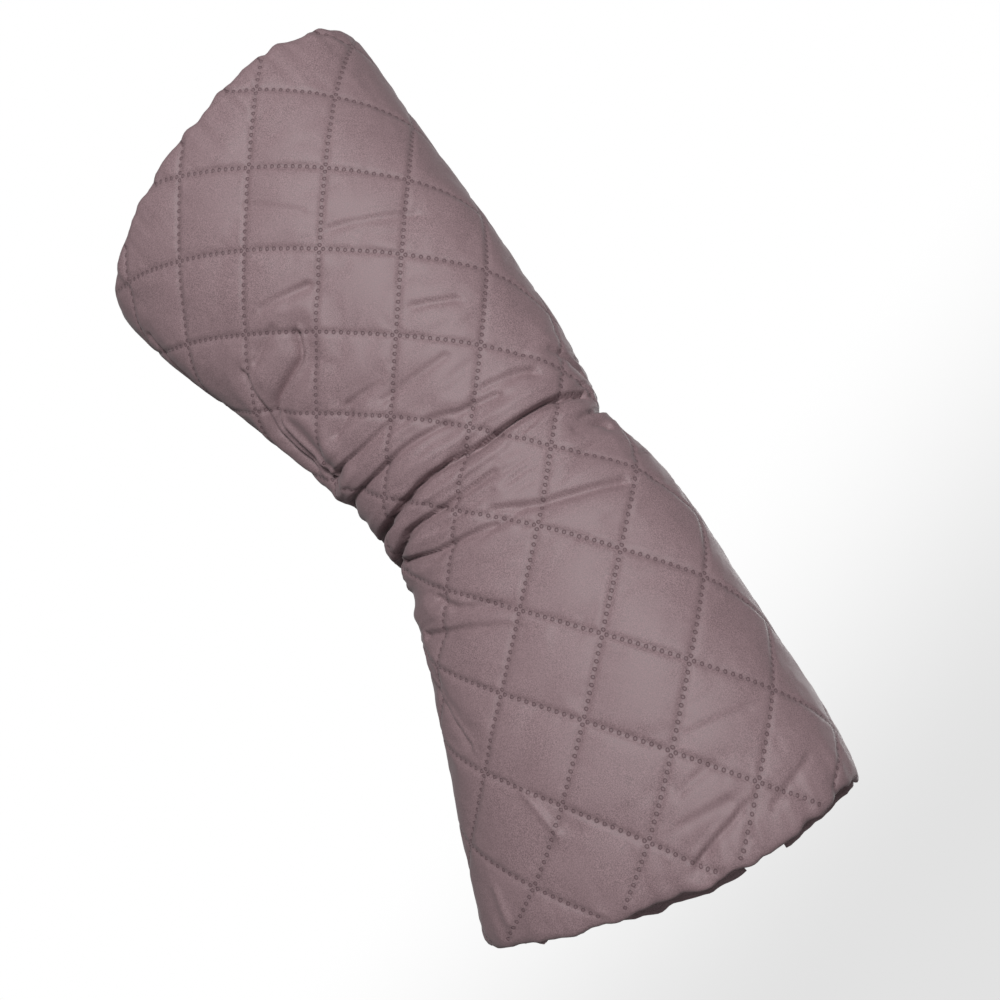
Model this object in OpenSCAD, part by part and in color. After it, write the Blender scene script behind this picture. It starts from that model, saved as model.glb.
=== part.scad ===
// Hand warmer muff for a pushchair handlebar.
// A quilted rectangle wraps round the bar, hangs from it by an inner strap and closes
// along the back with a flap and a row of snap fasteners.
// X runs along the handlebar, -Y is the quilted front, +Y the closing side, Z is up.
// The origin is on the handlebar's axis, at the waist.

/* [Body] */
// Waist to the left end of the top fold
left_length = 302; // [250:1:365]
// Waist to the right end of the top fold
right_length = 268; // [240:1:310]
// Outside height at the waist
waist_height = 166; // [138:1:200]
// Outside height at the left opening
left_end_height = 230; // [205:1:270]
// Outside height at the right opening
right_end_height = 244; // [210:1:285]
// Handlebar axis to the front face at the waist
waist_front = 52; // [50:1:62]
// Handlebar axis to the front face at both openings
end_front = 71; // [60:1:84]
// Handlebar axis to the outside of the flat back
back_y = 48; // [47:1:57]
// Rise of the left top fold above the waist notch
left_crown = 8; // [0:1:14]
// Rise of the right top fold above the waist notch
right_crown = 12; // [0:1:18]
// Slope of the left opening, as run over rise
left_slope = 0.28; // [0.1:0.01:0.34]
// Slope of the right opening, as run over rise
right_slope = 0.15; // [0.1:0.01:0.34]
// How far the middle of each hem bows outwards
hem_bow = 26; // [0:1:34]
// Squareness of the cross-section, where 2 is an ellipse
squareness = 2.3; // [2.1:0.1:2.8]

/* [Wall] */
// Quilted face fabric thickness
shell_t = 1.2; // [0.8:0.1:2]
// Wadding thickness
wadding_t = 6; // [4:0.2:8]
// Plush lining thickness
lining_t = 3; // [2:0.5:4]
// Gap between neighbouring layers
layer_gap = 0.2; // [0.1:0.05:0.4]

/* [Hems] */
// Width of the turned-in facing at each opening
facing_w = 36; // [30:1:50]
// Facing fabric thickness
facing_t = 1.0; // [0.8:0.1:1.5]
// Width of the elastic inside each hem
elastic_w = 18; // [12:1:20]
// Elastic thickness
elastic_t = 1.0; // [0.8:0.1:1.4]
// Width of the elastic tape that gathers the waist
waist_tape_w = 24; // [15:1:30]
// Thickness of the waist tape
waist_tape_t = 1.2; // [0.8:0.1:1.6]

/* [Closure] */
// Hinge line of the flap, distance behind the handlebar axis
hinge_y = 8; // [6:1:12]
// Handlebar axis down to the middle of the closure
closure_drop = 47; // [42:1:57]
// Width of each placket strip
placket_w = 32; // [26:0.2:38.4]
// Placket fabric ply thickness
ply_t = 0.8; // [0.6:0.1:1]
// Thickness of the reinforcing tape inside each placket
tape_t = 0.8; // [0.6:0.1:1]
// Number of snap fasteners
snap_count = 6; // [4:1:8]
// Distance from each hem to the nearest snap
snap_inset = 34; // [26:1:50]

/* [Snap] */
// Snap cap diameter
cap_d = 12.5; // [11:0.5:15]
// Snap socket and stud base diameter
ring_d = 11; // [10.5:0.5:13]
// Rivet tube diameter, through the fabric
post_d = 4; // [3.5:0.1:4.8]
// Stud head diameter
stud_d = 4.2; // [3.8:0.1:5]
// Stud head height
stud_h = 1.8; // [1.5:0.1:2.2]
// Room round the stud for the socket's spring
spring_gap = 0.9; // [0.8:0.05:1.1]
// Gap round each rivet tube
rivet_gap = 0.15; // [0.1:0.05:0.3]

/* [Handlebar strap] */
// Radius of the handlebar that the strap closes round
bar_r = 17; // [14:0.1:20.4]
// Webbing width
strap_w = 38; // [25:1:50]
// Webbing thickness
strap_t = 2.2; // [1.6:0.1:2.4]
// Hook or loop patch thickness
patch_t = 1.0; // [0.8:0.1:1.2]

/* [Hidden] */

// Colours
mauve = "#8a7076";
mauve_dark = "#6f585e";
cream = "#e8e0d2";
white = "#f2f0ec";
nickel = "#a7a4a0";
charcoal = "#4a4245";

// Depth of each layer's faces below the outside of the muff
wadding_out = shell_t + layer_gap;
wadding_in = wadding_out + wadding_t;
lining_out = wadding_in + layer_gap;
wall = lining_out + lining_t;
elastic_in = lining_out + elastic_t;
facing_out = elastic_in + layer_gap;
facing_in = facing_out + facing_t;
tape_gap = 0.6;
waist_tape_out = wall + tape_gap;

// Heights of the top fold, the flap's hinge and the closure
strap_out = bar_r + strap_t;
strap_gap = 0.3;
waist_top = strap_out + strap_gap + wall;
hinge_gap = 1;
hinge_z = waist_top + max(left_crown, right_crown) + hinge_gap;
placket_top = -closure_drop + placket_w / 2;
placket_bottom = -closure_drop - placket_w / 2;
opening_gap = 0.6;
fold_gap = 0.3;

// Stations along the muff, closer together towards the waist
half_steps = 10;
crowding = 1.35;
body_steps = 26;
flap_steps = 8;

// How much the back is flattened, and how the outline runs from the waist to each end
flat_back = 5;
notch_share = 0.13;
crown_fade = 0.45;
waist_round = 0.12;
front_reach = 1.25;

function length_at(x) = x < 0 ? left_length : right_length;
function share(x) = min(1, abs(x) / length_at(x));
function ease(t) = t * t * (3 - 2 * t);
function power(v, e) = sign(v) * pow(abs(v), e);
function rounded(q) = sqrt(q * q + waist_round * waist_round) - waist_round;

// Outline of the muff at station x
function crown_at(x) = (x < 0 ? left_crown : right_crown)
    * (1 - exp(-pow(share(x) / notch_share, 2))) * (1 - crown_fade * pow(share(x), 4));
function top_at(x) = waist_top + crown_at(x);
function height_at(x) = waist_height
    + ((x < 0 ? left_end_height : right_end_height) - waist_height) * rounded(share(x)) / rounded(1);
function bottom_at(x) = waist_top - height_at(x);
function front_at(x) = -waist_front
    - (end_front - waist_front) * ease(min(1, share(x) * front_reach));

// Centre and half sizes of the cross-section at station x
function mid_z(x) = (top_at(x) + bottom_at(x)) / 2;
function half_z(x) = (top_at(x) - bottom_at(x)) / 2;
function mid_y(x) = (back_y + flat_back + front_at(x)) / 2;
function half_y(x) = (back_y + flat_back - front_at(x)) / 2;

// Where station x lies at height z: sections lean towards the openings' slope and bow
function lean(x, z) = (x < 0 ? left_slope : -right_slope) * share(x) * (top_at(x) - z);
function bow(x, z) = sign(x) * hem_bow * pow(share(x), 3) * (1 - pow((z - mid_z(x)) / half_z(x), 2));
function leaned(x, z) = x + lean(x, z) + bow(x, z);

// Point of the muff at station x and angle a round it, a depth d below the outside.
// Angle 0 is the top fold, 90 the back, 180 the bottom fold and 270 the front.
function skin(x, a, d) =
    let (z = mid_z(x) + (half_z(x) - d) * power(cos(a), 2 / squareness),
         y = mid_y(x) + (half_y(x) - d) * power(sin(a), 2 / squareness))
    [leaned(x, z), min(y, back_y - d), z];

// Angle at which depth d crosses a height on the back, or a distance back on the top fold
function back_angle(x, z, d) = acos(power((z - mid_z(x)) / (half_z(x) - d), squareness / 2));
function fold_angle(x, y, d) = asin(power((y - mid_y(x)) / (half_y(x) - d), squareness / 2));

// The body runs from the closure under the muff and up the front to the top fold, and
// the flap from the top fold down the back to the closure
function body_from(x, d) = back_angle(x, placket_bottom - opening_gap, d);
function body_to(x, d) = 360 + fold_angle(x, hinge_y - fold_gap, d);
function flap_from(x, d) = fold_angle(x, hinge_y + fold_gap, d);
function flap_to(x, d) = back_angle(x, placket_top + layer_gap, d);
function panel_from(x, d, flap) = flap ? flap_from(x, d) : body_from(x, d);
function panel_to(x, d, flap) = flap ? flap_to(x, d) : body_to(x, d);

// Only the ends of a panel move with depth. Between them every layer has the same angles, so
// that the faces of neighbouring layers are parallel.
function panel_angles(x, d, flap) =
    let (n = flap ? flap_steps : body_steps,
         shared = steps_between(panel_from(x, 0, flap), panel_to(x, 0, flap), n))
    concat([panel_from(x, d, flap)], [for (i = [1:n - 1]) shared[i]], [panel_to(x, d, flap)]);

function steps_between(from, to, n) = [for (i = [0:n]) from + (to - from) * i / n];
function station(t) = power(t, crowding) * (t < 0 ? left_length : right_length);
function hem_x(side, in) = side < 0 ? -left_length + in : right_length - in;

// Every layer starts and ends at one of these stations: the hem, the wadding's edge inside the
// hem's rim, the middle of the facing or the lining's edge beside the facing
rim_t = 2.5;
hem_steps = [0, rim_t + layer_gap, facing_w / 2, facing_w + layer_gap];
lining_edge = hem_steps[3];
station_room = 5;
stations = concat(
    [for (in = hem_steps) hem_x(-1, in)],
    [for (i = [-half_steps:half_steps]) let (x = station(i / half_steps))
        if (x > hem_x(-1, lining_edge + station_room) && x < hem_x(1, lining_edge + station_room)) x],
    [for (in = reverse(hem_steps)) hem_x(1, in)]);
function stations_within(in) = [for (x = stations) if (x >= hem_x(-1, in) && x <= hem_x(1, in)) x];

// Closed surface through rings that all have n points, with the triangles of its near cap.
// From point turn on, where a ring runs back along its other face, the squares are cut into
// triangles along their other diagonal, so that faces that lie on each other are cut alike.
module skin_over(rings, near_cap, turn) {
    n = len(rings[0]);
    last = len(rings) - 1;
    sides = [for (r = [0:last - 1], i = [0:n - 1])
        let (j = (i + 1) % n, here = r * n, next = here + n)
        each (i < turn ? [[here + i, here + j, next + j], [here + i, next + j, next + i]]
                       : [[here + i, here + j, next + i], [here + j, next + j, next + i]])];
    far_cap = [for (face = near_cap) [for (k = [len(face) - 1:-1:0]) face[k] + last * n]];
    polyhedron([for (ring = rings) each ring], concat(sides, near_cap, far_cap), convexity = 10);
}

// Layer of the body or the flap between two depths, over a list of stations
module layer(xs, d_out, d_in, flap = false) {
    rings = [for (x = xs) concat(
        [for (a = panel_angles(x, d_out, flap)) skin(x, a, d_out)],
        reverse([for (a = panel_angles(x, d_in, flap)) skin(x, a, d_in)]))];
    n = len(rings[0]);
    cap = [for (i = [0:n / 2 - 2]) each [[i, n - 1 - i, n - 2 - i], [i, n - 2 - i, i + 1]]];
    skin_over(rings, cap, n / 2);
}
function reverse(list) = [for (i = [len(list) - 1:-1:0]) list[i]];

// Sweeps a profile of [distance in from the hem, depth] round the body or the flap.
// side is -1 at the left opening and 1 at the right.
module hem_band(side, profile, flap, turn) {
    bands = [for (p = profile) let (x = hem_x(side, p[0]))
        [for (a = panel_angles(x, p[1], flap)) skin(x, a, p[1])]];
    rings = [for (i = [0:len(bands[0]) - 1]) [for (band = bands) band[i]]];
    skin_over(side < 0 ? reverse(rings) : rings, [[for (i = [len(profile) - 1:-1:0]) i]], turn);
}

// Turned edge of an opening: a facing inside the hem, with a rim that closes the wall. The
// facing bends at the elastic's edges, where the elastic does.
elastic_inset = 8;
elastic_near = elastic_inset;
elastic_away = elastic_inset + elastic_w;
module facing(side, flap) {
    profile = [[0, wadding_out], [rim_t, wadding_out], [rim_t, facing_out], [elastic_near, facing_out],
               [elastic_away, facing_out], [facing_w, facing_out], [facing_w, facing_in], [0, facing_in]];
    hem_band(side, profile, flap, 6);
}

// Elastic inside the hem, between wadding and facing
module elastic(side, flap) {
    out = lining_out + layer_gap / 2;
    profile = [[elastic_near, out], [elastic_away, out], [elastic_away, elastic_in],
               [elastic_near, elastic_in]];
    hem_band(side, profile, flap, 2);
}

// Quilted layers
wadding_stations = stations_within(hem_steps[1]);
lining_stations = stations_within(lining_edge);
module outer_shell() { color(mauve) layer(stations, 0, shell_t); }
module wadding() { color(white) layer(wadding_stations, wadding_out, wadding_in); }
module plush_lining() { color(cream) layer(lining_stations, lining_out, wall); }
module flap_shell() { color(mauve) layer(stations, 0, shell_t, true); }
module flap_wadding() { color(white) layer(wadding_stations, wadding_out, wadding_in, true); }
module flap_lining() { color(cream) layer(lining_stations, lining_out, wall, true); }

// Hems
module left_hem_facing() { color(mauve_dark) facing(-1, false); }
module right_hem_facing() { color(mauve_dark) facing(1, false); }
module flap_left_facing() { color(mauve_dark) facing(-1, true); }
module flap_right_facing() { color(mauve_dark) facing(1, true); }
module left_hem_elastic() { color(white) elastic(-1, false); }
module right_hem_elastic() { color(white) elastic(1, false); }
module flap_left_elastic() { color(white) elastic(-1, true); }
module flap_right_elastic() { color(white) elastic(1, true); }

// Elastic tape on the lining, which gathers the lower back and the bottom of the waist
waist_tape_start = 3;
waist_tape_end = 205;
module waist_elastic() {
    w = waist_tape_w / 2;
    d = waist_tape_out + waist_tape_t;
    corners = [[-w, d], [0, d], [w, d], [w, waist_tape_out], [0, waist_tape_out], [-w, waist_tape_out]];
    from = body_from(0, waist_tape_out) + waist_tape_start;
    between = [for (a = panel_angles(0, 0, false)) if (a > from + 1 && a < waist_tape_end - 1) a];
    rings = [for (a = concat([from], between, [waist_tape_end])) [for (c = corners) skin(c[0], a, c[1])]];
    color(white) skin_over(rings, [[5, 4, 1, 0], [4, 3, 2, 1]], 3);
}

// Plackets lie flat on the back. Depths in Y, from the outside in:
placket_t = 2 * ply_t + tape_t + 2 * layer_gap;
socket_h = stud_h + 0.6;
stud_base_t = 0.8;
flap_placket_y = back_y - placket_t;
lower_placket_y = flap_placket_y - socket_h - stud_base_t - placket_t;
lower_placket_face = lower_placket_y + placket_t;
closure_z = -closure_drop;
placket_end = 3;
placket_seam = 4;
tongue_of_placket = 3;
lower_top = placket_top - tongue_of_placket;
lower_bottom = placket_bottom - opening_gap + layer_gap;

function hem_at(side, z) = leaned(hem_x(side, 0), z);
snap_xs = steps_between(hem_at(-1, closure_z) + snap_inset, hem_at(1, closure_z) - snap_inset,
                        snap_count - 1);
rivet_hole_r = post_d / 2 + rivet_gap;

// Strip along the back from z_low to z_high and from y to y + t, with a hole for each rivet
module strip(z_low, z_high, y, t, inset) {
    heights = steps_between(z_low, z_high, 4);
    translate([0, y + t, 0]) rotate([90, 0, 0]) linear_extrude(t) difference() {
        polygon(concat([for (z = heights) [hem_at(1, z) - inset, z]],
                       reverse([for (z = heights) [hem_at(-1, z) + inset, z]])));
        for (x = snap_xs) translate([x, closure_z]) circle(rivet_hole_r, $fn = 32);
    }
}

// Two plies of face fabric, closed all round, with a pocket between them for the tape
module placket(z_low, z_high, y) {
    pocket = placket_seam - layer_gap;
    difference() {
        strip(z_low, z_high, y, placket_t, placket_end);
        strip(z_low + pocket, z_high - pocket, y + ply_t, placket_t - 2 * ply_t,
              placket_end + pocket);
    }
}
module placket_tape(z_low, z_high, y) {
    strip(z_low + placket_seam, z_high - placket_seam, y + ply_t + layer_gap, tape_t,
          placket_end + placket_seam);
}
module flap_placket() { color(mauve) placket(placket_bottom, placket_top, flap_placket_y); }
module flap_placket_tape() { color(white) placket_tape(placket_bottom, placket_top, flap_placket_y); }
module lower_placket() { color(mauve_dark) placket(lower_bottom, lower_top, lower_placket_y); }
module lower_placket_tape() { color(white) placket_tape(lower_bottom, lower_top, lower_placket_y); }

// Snap parts are turned profiles. Each is placed at every snap, from depth y outwards.
module at_snaps(y) {
    for (x = snap_xs) translate([x, y, closure_z]) rotate([-90, 0, 0]) children();
}
post_wall = 0.6;
rolled = 0.4;
module cap() {
    rim_r = cap_d / 2;
    bore_r = post_d / 2 - post_wall;
    rotate_extrude($fn = 48) polygon([
        [0, 1.7], [rim_r * 0.45, 1.55], [rim_r * 0.78, 1.2], [rim_r - 0.2, 0.6], [rim_r, 0.15],
        [rim_r, 0], [post_d / 2, 0], [post_d / 2, -placket_t - rolled],
        [bore_r, -placket_t - rolled], [bore_r, -0.3], [0, -0.3]]);
}
module socket() {
    mouth_r = stud_d / 2 + spring_gap;
    rim_r = ring_d / 2;
    floor_z = rolled + 0.1 - socket_h;
    rotate_extrude($fn = 48) polygon([
        [post_d / 2 + rivet_gap, 0], [rim_r - 0.3, 0], [rim_r, -0.3], [rim_r - 0.2, -0.8],
        [rim_r - 0.9, -1.1], [rim_r - 1.2, floor_z - 0.1], [rim_r - 1.5, floor_z - 0.4],
        [mouth_r, floor_z - 0.4], [mouth_r, floor_z + 0.2], [mouth_r + 0.2, -0.5],
        [post_d / 2 + rivet_gap, -0.5]]);
}
module stud() {
    head_r = stud_d / 2;
    bore_r = post_d / 2 - post_wall;
    rim_r = ring_d / 2;
    top = stud_base_t + stud_h;
    rotate_extrude($fn = 48) polygon([
        [bore_r, 0], [rim_r - 0.2, 0], [rim_r, 0.2], [rim_r - 0.3, stud_base_t - 0.2],
        [head_r + 0.5, stud_base_t - 0.1], [head_r - 0.25, stud_base_t + 0.4],
        [head_r, top - 0.8], [head_r - 0.3, top - 0.2], [head_r - 0.7, top], [bore_r, top]]);
}
module rivet() {
    tube_r = post_d / 2 - post_wall;
    flange_r = ring_d / 2 - 0.8;
    top = placket_t + stud_base_t;
    rotate_extrude($fn = 48) polygon([
        [tube_r - post_wall, -0.6], [flange_r - 0.2, -0.6], [flange_r, -0.4], [flange_r, 0],
        [tube_r, 0], [tube_r, top], [tube_r - post_wall, top]]);
}
module snap_caps() { color(nickel) at_snaps(back_y) cap(); }
module snap_sockets() { color(nickel) at_snaps(flap_placket_y) socket(); }
module snap_studs() { color(nickel) at_snaps(lower_placket_face) stud(); }
module stud_rivets() { color(nickel) at_snaps(lower_placket_y) rivet(); }

// Handlebar strap, in arcs about the X axis. Angles run from +Y towards +Z.
module arc(r_in, r_out, from, to, w) {
    rotate([90, 0, 90]) rotate([0, 0, from]) translate([0, 0, -w / 2])
        rotate_extrude(angle = to - from, $fn = 96) translate([r_in, 0]) square([r_out - r_in, w]);
}
strap_start = -71;
strap_end = 202;
tongue_start = -72;
tongue_step_from = -139;
tongue_step_to = -147;
tongue_tip = -206;
patch_margin = 3;
patch_w = strap_w - 2 * patch_margin;
patch_from = tongue_tip + 360 + 2;
patch_to = strap_end - 3;
lap_shift = strap_t + 2 * patch_t + 2 * layer_gap;

module handle_strap() { color(charcoal) arc(bar_r, strap_out, strap_start, strap_end, strap_w); }
module loop_patch() {
    color(mauve_dark) arc(strap_out, strap_out + patch_t, patch_from, patch_to, patch_w);
}
// The tongue wraps under and in front of the bar, steps out and laps over the strap: a thick
// band, cut back outside the bar's stretch and inside the lap
module strap_tongue() {
    spare = 1;
    color(charcoal) difference() {
        arc(bar_r, strap_out + lap_shift, tongue_tip, tongue_start, strap_w);
        arc(strap_out, strap_out + lap_shift + spare, tongue_step_from, tongue_start + spare,
            strap_w + spare);
        arc(bar_r - spare, bar_r + lap_shift, tongue_tip - spare, tongue_step_to, strap_w + spare);
    }
}
module hook_patch() {
    out = bar_r + lap_shift;
    color(charcoal) arc(out - patch_t, out, patch_from - 360, patch_to - 360, patch_w);
}

// Blank care label, held by the seam between the lining and the right facing
label_w = 26;
label_h = 44;
label_t = 0.5;
label_gap = 0.6;
function lining_y(x, z) = mid_y(x) - (half_y(x) - wall)
    * pow(1 - pow(abs(z - mid_z(x)) / (half_z(x) - wall), squareness), 1 / squareness);
module care_label() {
    right = hem_x(1, facing_w + 4);
    left = right - label_w;
    low = mid_z(right) - label_h / 2;
    y = max([for (x = [left, right], z = [low, low + label_h]) lining_y(x, z)]) + label_gap;
    color(white) translate([left, y, low]) cube([label_w, label_t, label_h]);
}

outer_shell();
wadding();
plush_lining();
left_hem_facing();
right_hem_facing();
left_hem_elastic();
right_hem_elastic();
waist_elastic();
lower_placket();
lower_placket_tape();
snap_studs();
stud_rivets();
handle_strap();
loop_patch();
care_label();
flap_shell();
flap_wadding();
flap_lining();
flap_left_facing();
flap_right_facing();
flap_left_elastic();
flap_right_elastic();
flap_placket();
flap_placket_tape();
snap_caps();
snap_sockets();
strap_tongue();
hook_patch();
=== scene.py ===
"""Hand warmer muff: quilted face, plush lining, gathered hems, snap closure and handlebar strap."""
import bpy
import bmesh
import math
import numpy as np
from mathutils import Matrix, Vector


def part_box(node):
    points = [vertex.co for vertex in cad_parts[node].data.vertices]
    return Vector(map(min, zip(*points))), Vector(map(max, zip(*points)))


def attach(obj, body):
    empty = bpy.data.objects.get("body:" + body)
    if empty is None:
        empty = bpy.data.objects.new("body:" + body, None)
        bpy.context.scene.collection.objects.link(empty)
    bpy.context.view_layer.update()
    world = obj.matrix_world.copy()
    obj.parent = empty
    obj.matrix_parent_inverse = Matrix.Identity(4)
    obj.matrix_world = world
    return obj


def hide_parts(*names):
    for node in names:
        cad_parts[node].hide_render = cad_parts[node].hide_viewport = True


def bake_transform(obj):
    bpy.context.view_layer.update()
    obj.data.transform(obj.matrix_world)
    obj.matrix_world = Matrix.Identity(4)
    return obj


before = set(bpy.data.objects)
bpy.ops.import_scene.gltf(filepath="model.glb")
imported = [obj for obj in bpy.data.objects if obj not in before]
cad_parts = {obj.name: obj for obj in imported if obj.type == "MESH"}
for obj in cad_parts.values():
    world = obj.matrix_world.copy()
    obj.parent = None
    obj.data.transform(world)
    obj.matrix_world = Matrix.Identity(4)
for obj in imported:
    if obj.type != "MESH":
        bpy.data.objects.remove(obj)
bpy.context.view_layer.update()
MM = 0.001


# ---------------------------------------------------------------- the muff's form, in millimetres

LEFT, RIGHT = 302.0, 268.0
WAIST_TOP, WAIST_HEIGHT = 30.1, 166.0
END_HEIGHT = {-1: 230.0, 1: 244.0}
CROWN = {-1: 8.0, 1: 12.0}
SLOPE = {-1: 0.28, 1: -0.15}
WAIST_FRONT, END_FRONT = 52.0, 71.0
BACK, FLAT_BACK = 48.0, 5.0
HEM_BOW = 26.0
SQUARENESS = 2.3
NOTCH_SHARE, CROWN_FADE, WAIST_ROUND, FRONT_REACH = 0.13, 0.45, 0.12, 1.25
HINGE_Y = 8.0
CLOSURE_Z = -47.0
PLACKET_W = 32.0
FLAP_EDGE_Z = CLOSURE_Z + PLACKET_W / 2
LOWER_EDGE_Z = CLOSURE_Z - PLACKET_W / 2 - 0.6


def ease(t):
    t = np.clip(t, 0, 1)
    return t * t * (3 - 2 * t)


def power(v, e):
    return np.sign(v) * np.abs(v) ** e


def by_side(x, table):
    return np.where(x < 0, table[-1], table[1])


def section(x):
    """Top, middle and half sizes of the cross-section at station x, and how it leans."""
    x = np.asarray(x, float)
    share = np.minimum(1, np.abs(x) / np.where(x < 0, LEFT, RIGHT))
    rounded = lambda q: np.sqrt(q * q + WAIST_ROUND ** 2) - WAIST_ROUND
    top = WAIST_TOP + by_side(x, CROWN) * (1 - np.exp(-(share / NOTCH_SHARE) ** 2)) \
        * (1 - CROWN_FADE * share ** 4)
    height = WAIST_HEIGHT + (by_side(x, END_HEIGHT) - WAIST_HEIGHT) * rounded(share) / rounded(1.0)
    bottom = WAIST_TOP - height
    front = -WAIST_FRONT - (END_FRONT - WAIST_FRONT) * ease(share * FRONT_REACH)
    back = BACK + FLAT_BACK
    return dict(share=share, top=top, mid_z=(top + bottom) / 2, half_z=(top - bottom) / 2,
                mid_y=(back + front) / 2, half_y=(back - front) / 2, slope=by_side(x, SLOPE) * share)


def leaned(x, z):
    """Where station x lies at height z: sections lean towards the openings' slope and bow."""
    s = section(x)
    bow = np.sign(x) * HEM_BOW * s["share"] ** 3 * (1 - ((z - s["mid_z"]) / s["half_z"]) ** 2)
    return x + s["slope"] * (s["top"] - z) + bow


def skin(x, angle, depth=0.0):
    """Point of the muff at station x and angle (degrees from the top fold, towards the back)."""
    s = section(x)
    a = np.radians(angle)
    e = 2 / SQUARENESS
    z = s["mid_z"] + (s["half_z"] - depth) * power(np.cos(a), e)
    y = np.minimum(s["mid_y"] + (s["half_y"] - depth) * power(np.sin(a), e), BACK - depth)
    return np.stack([leaned(x, z), y, z], -1)


# ---------------------------------------------------------------- the cloth, laid out on that form

STEPS = 16                      # mesh steps per half diamond
ROW = 36.5                      # half a diamond round the muff
CELL = 52.0                     # side of a diamond
CENTRE_M = 10                   # diamond count at the cloth's centre line
COL_FROM, COL_TO = -135, 109    # mesh columns from the left hem to the right hem
ROW_LOWER, ROW_FOLD, ROW_FLAP = -157, 45, 75    # closing edge, top fold, flap edge
WELD_DEPTH = 2.6                # the welded rows lie this far below the outside
QUILT_T = 8.4                   # the quilting's inner side lies this far below the outside
THINNEST = 2.5                  # the quilting is never thinner than this


def station(m):
    """Station of diamond count m: the cloth is a little closer together towards the hems."""
    d = np.asarray(m, float) - CENTRE_M
    return 11 + 39.6 * d - 0.037 * d ** 3


def reference_arc(x):
    """Distance round the muff from its foremost point up to the middle row of diamonds."""
    return 48 + 24 * ease((x - 10) / 250)


def angles_at(x, rows):
    """Angle round the muff of every cloth row at one station, and how many half diamonds up
    from the middle row it really lies."""
    angle = np.linspace(60, 450, 1561)
    points = skin(np.full(angle.shape, x), angle)[:, 1:]
    arc = np.concatenate([[0], np.cumsum(np.linalg.norm(np.diff(points, axis=0), axis=1))])
    row = (arc - np.interp(270, angle, arc) - reference_arc(x)) / ROW

    def crossing(ok):
        return row[np.flatnonzero(ok)[0]]
    lower = crossing((angle < 200) & (points[:, 1] <= LOWER_EDGE_Z))
    fold = crossing((angle > 330) & (points[:, 0] >= HINGE_Y))
    flap = crossing((angle > 380) & (points[:, 1] <= FLAP_EDGE_Z))
    even_low, even_high = -3.0, 1.0
    k = np.asarray(rows, float) / STEPS
    k_lower, k_fold, k_flap = ROW_LOWER / STEPS, ROW_FOLD / STEPS, ROW_FLAP / STEPS

    def squeezed(u, ratio):
        return u + (ratio - 1) * u ** 1.5
    low_span, high_span = even_low - k_lower, k_fold - even_high
    below = even_low - low_span * squeezed(np.clip((even_low - k) / low_span, 0, 1),
                                           (even_low - lower) / low_span)
    above = even_high + high_span * squeezed(np.clip((k - even_high) / high_span, 0, 1),
                                             (fold - even_high) / high_span)
    on_flap = fold + (k - k_fold) / (k_flap - k_fold) * (flap - fold)
    upper = np.where(k > k_fold, on_flap, np.where(k > even_high, above, k))
    true_row = np.where(k < even_low, below, upper)
    return np.interp(true_row, row, angle), true_row


columns = np.arange(COL_FROM, COL_TO + 1)
cloth_rows = np.arange(ROW_LOWER, ROW_FLAP + 1)
stations = station(CENTRE_M + columns / STEPS)
laid = [angles_at(x, cloth_rows) for x in stations]
angle_grid = np.array([angles for angles, rows in laid])
row_grid = np.array([rows for angles, rows in laid])
station_grid = np.repeat(stations[:, None], len(cloth_rows), 1)
col_grid, k_grid = np.meshgrid(columns, cloth_rows / STEPS, indexing="ij")


def grid_normals(points):
    """Outward normals of a grid of points."""
    along = np.gradient(points, axis=0)
    round_ = np.gradient(points, axis=1)
    n = np.cross(round_, along)
    n /= np.linalg.norm(n, axis=-1, keepdims=True)
    middle = np.stack([points[..., 0], 0 * points[..., 1] - 5, 0 * points[..., 2] - 60], -1)
    return n if np.mean(np.sum((points - middle) * n, -1)) > 0 else -n


def sample(grid, cols, rows):
    """Values of a grid between its points."""
    a = np.clip(cols - COL_FROM, 0, grid.shape[0] - 1.001)
    b = np.clip(rows - ROW_LOWER, 0, grid.shape[1] - 1.001)
    i, j = a.astype(int), b.astype(int)
    u, v = a - i, b - j
    if grid.ndim == 3:
        u, v = u[:, None], v[:, None]
    return (grid[i, j] * (1 - u) * (1 - v) + grid[i + 1, j] * u * (1 - v)
            + grid[i, j + 1] * (1 - u) * v + grid[i + 1, j + 1] * u * v)


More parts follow.
